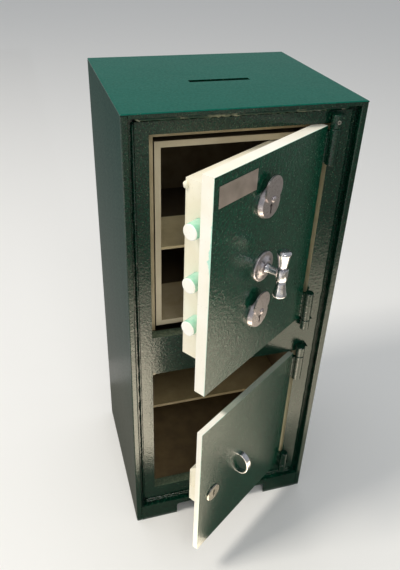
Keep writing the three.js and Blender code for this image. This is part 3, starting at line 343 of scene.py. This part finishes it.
# ---- turning bmesh work into pieces ----
def finish(name, bm, body, materials, place=None, crisp=35, soften=False):
    """Puts a bmesh where the frame has it and hands it over as a piece that rides on a body."""
    if place is not None:
        bmesh.ops.transform(bm, matrix=place, verts=bm.verts)
    for face in bm.faces:
        face.smooth = True
    for edge in bm.edges:
        edge.smooth = not edge.is_manifold or edge.calc_face_angle() < math.radians(crisp)
    mesh = bpy.data.meshes.new(name)
    bm.to_mesh(mesh)
    bm.free()
    for made in materials:
        mesh.materials.append(made)
    piece = bpy.data.objects.new(name, mesh)
    bpy.context.scene.collection.objects.link(piece)
    if soften:
        even = piece.modifiers.new("even_normals", "WEIGHTED_NORMAL")
        even.keep_sharp = True
        even.weight = 60
    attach(piece, body)
    return piece


def rounded(bm, edges, width, segments):
    """Rounds edges off by a width in metres."""
    if edges:
        bmesh.ops.bevel(bm, geom=edges, offset=width, offset_type="OFFSET", affect="EDGES",
                        segments=segments, profile=0.5, material=-1, clamp_overlap=True)


def dressed(node, body, materials, edge=0.5, segments=2, fold=None, paint=None, place=CABINET):
    """A merged copy of a solid with its edges broken as paint and tooling leave them. fold picks
    edges, by their ends in millimetres, that are bent or ground rounder, and paint picks a
    material for a face by its normal and centre; both work on the closed cabinet."""
    bm = bmesh.new()
    bm.from_mesh(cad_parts[node].data)
    bmesh.ops.remove_doubles(bm, verts=bm.verts, dist=0.000002)
    bmesh.ops.transform(bm, matrix=place.inverted(), verts=bm.verts)
    bmesh.ops.dissolve_limit(bm, angle_limit=math.radians(0.5), verts=bm.verts, edges=bm.edges)
    if fold:
        picks, width, steps = fold
        rounded(bm, [e for e in bm.edges if picks(e.verts[0].co, e.verts[1].co)], width, steps)
    sharp = [e for e in bm.edges if e.is_manifold and e.calc_face_angle() > math.radians(32)]
    rounded(bm, sharp, edge, segments)
    bm.normal_update()
    if paint:
        for face in bm.faces:
            face.material_index = paint(face.normal, face.calc_center_median())
    piece = finish(node + "_finished", bm, body, materials, place, soften=True)
    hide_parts(node)
    return piece


def turned(bm, profile, centre, axis, steps=96, hollow=False):
    """Adds a profile of (radius, height), turned about a line through centre along axis."""
    fresh = [bm.verts.new((radius, 0, height)) for radius, height in profile]
    pairs = list(zip(fresh, fresh[1:])) + ([(fresh[-1], fresh[0])] if hollow else [])
    edges = [bm.edges.new(pair) for pair in pairs]
    before = set(bm.verts) - set(fresh)
    bmesh.ops.spin(bm, geom=fresh + edges, cent=(0, 0, 0), axis=(0, 0, 1), angle=math.tau,
                   steps=steps, use_merge=True)
    made = [v for v in bm.verts if v not in before]
    bmesh.ops.remove_doubles(bm, verts=made, dist=0.001)
    made = [v for v in bm.verts if v not in before]
    bmesh.ops.recalc_face_normals(bm, faces=list({f for v in made for f in v.link_faces}))
    facing = Vector((0, 0, 1)).rotation_difference(Vector(axis)).to_matrix().to_4x4()
    bmesh.ops.transform(bm, matrix=Matrix.Translation(centre) @ facing, verts=made)
    return made


def bead(bm, start, end, radius, pitch=2.2, seed=0.0):
    """Weld metal laid from start to end: a ring of steel run along the line, swelling once a pitch."""
    start, end = Vector(start), Vector(end)
    run = end - start
    steps = max(4, round(run.length / pitch * 3))
    facing = Vector((0, 0, 1)).rotation_difference(run).to_matrix().to_4x4()
    ring = bmesh.ops.create_circle(bm, cap_ends=True, segments=10, radius=radius * 0.5,
                                   matrix=Matrix.Translation(start) @ facing)
    verts = ring["verts"]
    edges = {e for v in verts for e in v.link_edges}
    made = list(verts)
    for step in range(1, steps + 1):
        grown = bmesh.ops.extrude_edge_only(bm, edges=list(edges))["geom"]
        verts = [g for g in grown if isinstance(g, bmesh.types.BMVert)]
        edges = {g for g in grown if isinstance(g, bmesh.types.BMEdge) and set(g.verts) <= set(verts)}
        along = start + run * (step / steps)
        wander = noise.noise(along * 0.21 + Vector((seed, seed, seed)))
        swell = radius * (0.9 + 0.14 * math.sin(step * math.tau / 3) + 0.35 * wander)
        swell *= 0.5 if step == steps else 1.0
        for vert in verts:
            spoke = (vert.co - (start + run * ((step - 1) / steps))).normalized()
            vert.co = along + spoke * swell
        made += verts
    bmesh.ops.holes_fill(bm, edges=list(edges), sides=0)
    bmesh.ops.recalc_face_normals(bm, faces=bm.faces)
    return made


# ---- cabinet shell ----
def near(value, target):
    """Whether a coordinate lies on a plane of the cabinet."""
    return abs(value - target) < 0.1


def front_folds(a, b):
    """The two bends of a side sheet's front rim, its outer corner and the turn into the groove."""
    upright = abs(a.z - b.z) > 100 and near(a.y, 0) and near(b.y, 0)
    return upright and (near(abs(a.x), HALF_WIDTH) or near(abs(a.x), RIM_INSIDE))


def top_rim(a, b):
    """The edges round the top, ground smooth."""
    outside = [near(abs(v.x), HALF_WIDTH) or near(v.y, 0) or near(v.y, DEPTH) for v in (a, b)]
    return near(a.z, HEIGHT) and near(b.z, HEIGHT) and all(outside)


def side_coat(normal, centre):
    """The flat of the side took a drier coat than the rim, which is 20 mm deep."""
    return 1 if abs(normal.x) > 0.8 and centre.y > 20 else 0


def lit_top_paint(normal, centre):
    """The top sheet's upward faces are painted a lighter green, as painted light from above; its front
    fold keeps the frame's green.
    """
    return 1 if normal.z > 0.3 else 0


for side in ("side_left", "side_right"):
    dressed(side, "cabinet", [GREEN, GREEN_SIDE], edge=0.9, fold=(front_folds, 2.6, 5),
            paint=side_coat)
dressed("back_sheet", "cabinet", [GREEN_SIDE], edge=0.5)
dressed("top_plate", "cabinet", [GREEN, GREEN_TOP_LIT], edge=0.8, fold=(top_rim, 2.4, 5),
        paint=lit_top_paint)
dressed("plinth_front", "cabinet", [GREEN], edge=0.9)
dressed("base_plate", "cabinet", [GREEN])
dressed("deposit_chute", "cabinet", [GREEN])


OPENINGS_X = 175.0               # both openings lie within this of the middle
OPENINGS_Z = (80.0, 950.0)       # and between these heights
LOWER_HEAD = (440.0, 460.0)      # the lower opening's head was sprayed green with the frame


def jamb_paint(normal, centre):
    """Green in front and outside; the reveals of both openings and the back are only primed, painted
    lighter on the hinge side as painted light, and the sills get a greyer, lighter green as a painted
    sheen."""
    inside = abs(centre.x) < OPENINGS_X and OPENINGS_Z[0] < centre.z < OPENINGS_Z[1]
    head = LOWER_HEAD[0] < centre.z < LOWER_HEAD[1]
    reveal = abs(normal.y) < 0.3 and inside and not head
    # sill tops: a painted sheen
    if reveal and normal.z > 0.5:
        return 3
    # hinge-side reveal: painted light
    if reveal and normal.x < -0.5:
        return 2
    return 1 if normal.y > 0.5 or reveal else 0


dressed("front_frame", "cabinet", [GREEN, BROWN, REVEAL_LIT_TAN, SILL_SHEEN], edge=1.8, segments=3,
        paint=jamb_paint)
dressed("frame_surround", "cabinet", [REBATE], edge=0.5)

# the frame is welded into the shell all round, and the enamel has pooled over the bead in the groove
GROOVE_X = 188.4
bm = bmesh.new()
for side_x in (-GROOVE_X, GROOVE_X):
    bead(bm, (side_x, 17.4, 66), (side_x, 17.4, 960), radius=4.0, pitch=40, seed=side_x)
finish("side_groove_welds", bm, "cabinet", [GREEN], CABINET, crisp=80)
bm = bmesh.new()
bead(bm, (-185, 14.4, 966.6), (185, 14.4, 966.6), radius=4.4, pitch=16, seed=7.4)
finish("head_groove_weld", bm, "cabinet", [SEAM_WITH_PAINTED_HIGHLIGHTS], CABINET, crisp=80)

# at the sill two beads run side by side, and the enamel over them never drained
bm = bmesh.new()
bead(bm, (-186, 15.6, 53.6), (186, 15.6, 53.6), radius=3.6, pitch=17, seed=11.3)
bead(bm, (-186, 13.6, 48.6), (186, 13.6, 48.6), radius=3.2, pitch=12, seed=4.9)
SAG = Vector((0, 2.0, 2.2))
for vert in bm.verts:
    vert.co += SAG * noise.noise(vert.co * 0.15)
finish("sill_groove_weld", bm, "cabinet", [GREEN], CABINET, crisp=80)


BODY_EDGE = 39.5                 # the front edge of the inner body lies before this
BODY_FLOOR = 600.0               # and its floor under this


def body_paint(normal, centre):
    """Cream darkened as painted shade on the front edge of the inner body, primer darkened as
    painted shade on its walls, and on its floor a lighter coat with a painted shadow line."""
    if centre.y < BODY_EDGE:
        return 0
    return 2 if normal.z > 0.5 and centre.z < BODY_FLOOR else 1


dressed("upper_inner_body", "cabinet", [CREAM_DARKENED_AS_SHADE, BROWN_DARKENED_AS_SHADE, FLOOR_LIT_TAN], edge=0.8,
        paint=body_paint)
dressed("lower_locker_lining", "cabinet", [BROWN], edge=0.4)
for shelf, coat in (("upper_shelf", SHELF_LIT_TAN), ("lower_shelf", SHELF_BROWN)):
    dressed(shelf, "cabinet", [coat], edge=0.6)
    for hand in ("left", "right"):
        dressed(f"{shelf}_rail_{hand}", "cabinet", [BROWN], edge=0.5)

# ---- hinges ----
for place in ("upper_top", "upper_low", "lower_top", "lower_low"):
    door = "upper_door" if place.startswith("upper") else "lower_door"
    dressed(f"frame_knuckle_{place}", "cabinet", [GREEN], edge=0.7)
    dressed(f"door_knuckle_{place}", door, [GREEN], edge=0.7, place=AJAR)
    dressed(f"hinge_pin_{place}", "cabinet", [STEEL], edge=0.4)
dressed("hinge_roll_pin", "cabinet", [STEEL], edge=0.3)

# short welds hold the saddles to the frame and the leaves to the doors
SADDLE_X = 171.0
SADDLE_RUN = 19.0
bm = bmesh.new()
for order, low in enumerate((938.5, 515.5, 442.5, 73.0)):
    bead(bm, (SADDLE_X, 11.2, low), (SADDLE_X, 11.2, low + SADDLE_RUN), radius=1.9, pitch=5,
         seed=order * 2.3)
finish("saddle_welds", bm, "cabinet", [GREEN], CABINET, crisp=80)
LEAF_X = 147.2
for door, runs in (("upper_door", ((874, 930), (543, 599))), ("lower_door", ((378, 434), (100, 130)))):
    bm = bmesh.new()
    for order, (low, high) in enumerate(runs):
        bead(bm, (LEAF_X, 11.4, low), (LEAF_X, 11.4, high), radius=1.8, pitch=5, seed=order * 4.1)
    finish(f"{door}_leaf_welds", bm, door, [GREEN], AJAR, crisp=80)


def lump(centre, radii, uneven, coarse, subdivisions):
    """A drop of paint or weld metal; uneven is how far its skin strays, coarse how often."""
    bm = bmesh.new()
    bmesh.ops.create_icosphere(bm, subdivisions=subdivisions, radius=1.0)
    for vert in bm.verts:
        swell = 1 + uneven * noise.noise(vert.co * coarse)
        vert.co = Vector(centre) + vert.co * Vector(radii) * swell
    return bm


# a drip of cream paint hangs from the corner of the lower opening
drip = lump((-161, 12.6, 447.4), (4.2, 2.4, 2.9), uneven=0.25, coarse=1.7, subdivisions=3)
# it wears the body's cream, darkened as painted shade
finish("paint_drip", drip, "cabinet", [CREAM_DARKENED_AS_SHADE], CABINET, crisp=80)

# ---- upper door ----
def door_paint(normal, centre):
    """Green on the face, cream on the edges and the back; green has bled over the free edge."""
    if normal.y < -0.4:
        return 0
    return 1 if normal.x < -0.5 else 2


dressed("upper_door_plate", "upper_door", [GREEN_DOOR, DOOR_CREAM, EDGE_CREAM], edge=0.8,
        paint=door_paint, place=AJAR)
dressed("bolt_box", "upper_door", [CREAM], edge=0.7, place=AJAR)
dressed("bolt_box_cover", "upper_door", [CREAM], edge=0.5, place=AJAR)
for inner in ("bar_guide_high", "bar_guide_low", "lock_case_high", "lock_case_low"):
    dressed(inner, "upper_door", [STEEL], place=AJAR)
for hand in ("high", "low"):
    dressed(f"escutcheon_{hand}", "upper_door", [NICKEL], edge=0.9, segments=3,
            place=AJAR)
    dressed(f"cover_rivet_{hand}", "upper_door", [NICKEL], edge=0.25, place=AJAR)
    dressed(f"key_cover_{hand}", f"key_cover_{hand}", [NICKEL], edge=1.2, segments=4,
            place=AJAR)
dressed("label_plate", "upper_door", [LABEL], edge=0.2, place=AJAR)

# the handle's castings are turned; each profile goes by radius and height in millimetres
ROSE = [(7.6, 0), (27.5, 0), (27.5, 2.0), (27.1, 2.8), (26.0, 3.3), (23.8, 3.2), (21.0, 3.6),
        (18.3, 4.6), (16.2, 5.8), (14.2, 7.4), (13.0, 8.5), (11.6, 9.0), (7.6, 9.0)]
SPINDLE = [(0, 0), (6.6, 0), (6.7, 8), (7.4, 20), (8.6, 28.0), (9.0, 28.6), (8.4, 29.2),
           (7.2, 29.6), (7.2, 99.4), (6.6, 100), (0, 100)]
HUB = [(0, -11.3), (8.9, -11.3), (9.6, -11.0), (10, -10.3), (10, 10.3), (9.6, 11.0),
       (8.9, 11.3), (0, 11.3)]
GRIP = [(0, 11.6), (6.9, 11.6), (7.4, 12.3), (8.4, 20), (9.8, 29), (11.1, 36.5), (11.7, 38.2),
        (12.0, 39.6), (11.9, 41.0), (11.3, 42.2), (10.3, 43.0), (9.7, 43.2), (9.3, 43.7),
        (8.0, 44.4), (5.0, 44.9), (0, 45.0)]
TBAR = (HANDLE_X, TBAR_Y, HANDLE_Z)
SEAT = 0.3               # the gap between touching meshes
bm = bmesh.new()
turned(bm, ROSE, (HANDLE_X, FRONT - SEAT, HANDLE_Z), (0, -1, 0), hollow=True)
rose = finish("handle_rose_turned", bm, "upper_door", [NICKEL], AJAR)
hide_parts("handle_rose")

bm = bmesh.new()
turned(bm, SPINDLE, TBAR, (0, 1, 0))
turned(bm, HUB, TBAR, (0, 0, 1))
spindle = finish("handle_spindle_turned", bm, "handle", [CHROME], AJAR)
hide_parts("handle_spindle")

for node, way in (("handle_grip_up", 1), ("handle_grip_down", -1)):
    bm = bmesh.new()
    turned(bm, GRIP, TBAR, (0, 0, way))
    grip = finish(node + "_turned", bm, "handle", [CHROME], AJAR)
    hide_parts(node)
dressed("handle_crank", "handle", [STEEL], place=AJAR)
dressed("bolt_bar", "bolts", [STEEL], place=AJAR)


def bolt_paint(normal, centre):
    """White on the bolt's end, mint on its barrel."""
    return 0 if centre.x < BOLT_FACE_X else 1


for height in ("low", "middle", "high"):
    dressed(f"bolt_{height}", "bolts", [BOLT_FACE, MINT], edge=0.7, segments=3,
            paint=bolt_paint, place=AJAR)

# a lump of weld, painted over with the box, holds its cover at the free corner
weld = lump((-125.5, 91.5, 896), (5.2, 4.6, 6.4), uneven=0.22, coarse=1.3, subdivisions=4)
finish("box_corner_weld", weld, "upper_door", [CREAM], AJAR, crisp=80)

# ---- lower door ----
def bolt_tip_paint(normal, centre):
    """The locker bolt's end was painted cream with its case; the rest is bare."""
    return 0 if normal.x < -0.5 else 1


def lower_door_paint(normal, centre):
    """As the upper door, but its top edge carries a painted shadow of the upper door."""
    if normal.y < -0.4:
        return 0
    # top edge: cream with a painted shadow of the upper door
    return 2 if normal.z > 0.5 else 1


dressed("lower_door_plate", "lower_door", [GREEN_DOOR, EDGE_CREAM, SHADOWED_CREAM],
        edge=0.8, paint=lower_door_paint, place=AJAR)
dressed("locker_lock_case", "lower_door", [CREAM], edge=1.4, segments=3, place=AJAR)
dressed("locker_lock_bolt", "locker_bolt", [CREAM, STEEL], edge=0.6,
        paint=bolt_tip_paint, place=AJAR)
dressed("locker_escutcheon", "lower_door", [TARNISHED], edge=0.3, place=AJAR)
dressed("half_ring_pull", "lower_door", [CHROME], edge=0.9, segments=3, place=AJAR)

# ---- stage: pale floor and soft studio light ----
def ground(name, middle, half, colour, roughness):
    """A flat sheet of the studio, half as wide and as deep as it says on each side of its middle."""
    bm = bmesh.new()
    bmesh.ops.create_grid(bm, x_segments=8, y_segments=8, size=1,
                          matrix=Matrix.Translation(middle) @ Matrix.Diagonal((*half, 1, 1)))
    mesh = bpy.data.meshes.new(name)
    bm.to_mesh(mesh)
    bm.free()
    made, tree, shader, place = begin(name)
    shader.inputs["Base Color"].default_value = linear(colour)
    shader.inputs["Roughness"].default_value = roughness
    mesh.materials.append(made)
    sheet = bpy.data.objects.new(name, mesh)
    bpy.context.scene.collection.objects.link(sheet)
    return sheet


ground("pale_studio_floor", (0, 0, 0), (14, 14), "#eeeeec", 0.75)

# the enamel in the photo mirrors darker ground before and beside the safe; only the gloss sees it
for name, middle, half, colour in (
    ("grey_front_card", (1.5, -1.95, 0.006), (2.1, 2.25), "#87857b"),
    ("grey_side_card", (-0.9, 2.75, 0.006), (0.7, 2.35), "#a0a6a6"),
):
    card = ground(name, middle, half, colour, 0.9)
    card.visible_camera = False
    card.visible_diffuse = False
    card.visible_shadow = False

world = bpy.data.worlds.new("studio")
world.use_nodes = True
bpy.context.scene.world = world
tree = world.node_tree
tree.nodes.clear()
path = add(tree, "ShaderNodeLightPath", {})
seen = add(tree, "ShaderNodeMath", {0: path.outputs["Is Camera Ray"], 1: path.outputs["Is Glossy Ray"]},
           operation="MAXIMUM")
seen = add(tree, "ShaderNodeMath", {0: seen.outputs[0], 1: path.outputs["Is Transmission Ray"]},
           operation="MAXIMUM")
ambient = add(tree, "ShaderNodeBackground", {"Color": linear("#e9ecf0"), "Strength": 0.55})
shown = add(tree, "ShaderNodeBackground", {"Color": linear("#dfe4e8"), "Strength": 0.55})
both = {0: seen.outputs[0], 1: ambient.outputs[0], 2: shown.outputs[0]}
choice = add(tree, "ShaderNodeMixShader", both)
add(tree, "ShaderNodeOutputWorld", {"Surface": choice.outputs[0]})


def softbox(name, at, size, watts, colour, target=(0, -0.1, 0.5), gloss_only=False):
    """A lamp of a width and height, turned to its target; no camera sees it. A gloss_only one is a
    bright card that shows in the enamel and the chrome, and adds no light."""
    lamp = bpy.data.lights.new(name, "AREA")
    lamp.shape = "RECTANGLE"
    lamp.size, lamp.size_y = size
    lamp.energy = watts
    lamp.color = linear(colour)[:3]
    holder = bpy.data.objects.new(name, lamp)
    facing = (Vector(target) - Vector(at)).to_track_quat("-Z", "Y").to_matrix().to_4x4()
    holder.matrix_world = Matrix.Translation(at) @ facing
    holder.visible_camera = False
    holder.visible_diffuse = not gloss_only
    bpy.context.scene.collection.objects.link(holder)


softbox("key", (-3.5, -0.6, 5.3), (1.2, 1.2), 205, "#fff8ee")
softbox("fill", (-0.3, -2.3, 2.9), (1.0, 1.0), 24, "#f6f6f2")
softbox("top", (-0.3, 0.5, 3.3), (1.4, 1.4), 10, "#ffffff")
softbox("low_strip", (0.3, -2.6, 0.12), (2.0, 0.2), 1.4, "#fff4dc", gloss_only=True)
softbox("low_left", (-1.5, -0.9, 0.12), (0.8, 0.2), 1.6, "#fff4dc", gloss_only=True)

# sunlit patches of the ground that the frame, its left stile and the doors mirror
for name, (x, y, z), size, watts in (
    ("ground_card", (0.22, -0.73, 0.012), (1.4, 0.74), 9.0),
    ("stile_card", (-0.17, -0.58, 0.013), (0.28, 0.5), 2.2),
    ("door_card", (0.52, -0.31, 0.014), (0.6, 0.2), 0.3),
):
    softbox(name, (x, y, z), size, watts, "#fff1d6", target=(x, y, 1), gloss_only=True)

bpy.context.scene.view_settings.view_transform = "Standard"
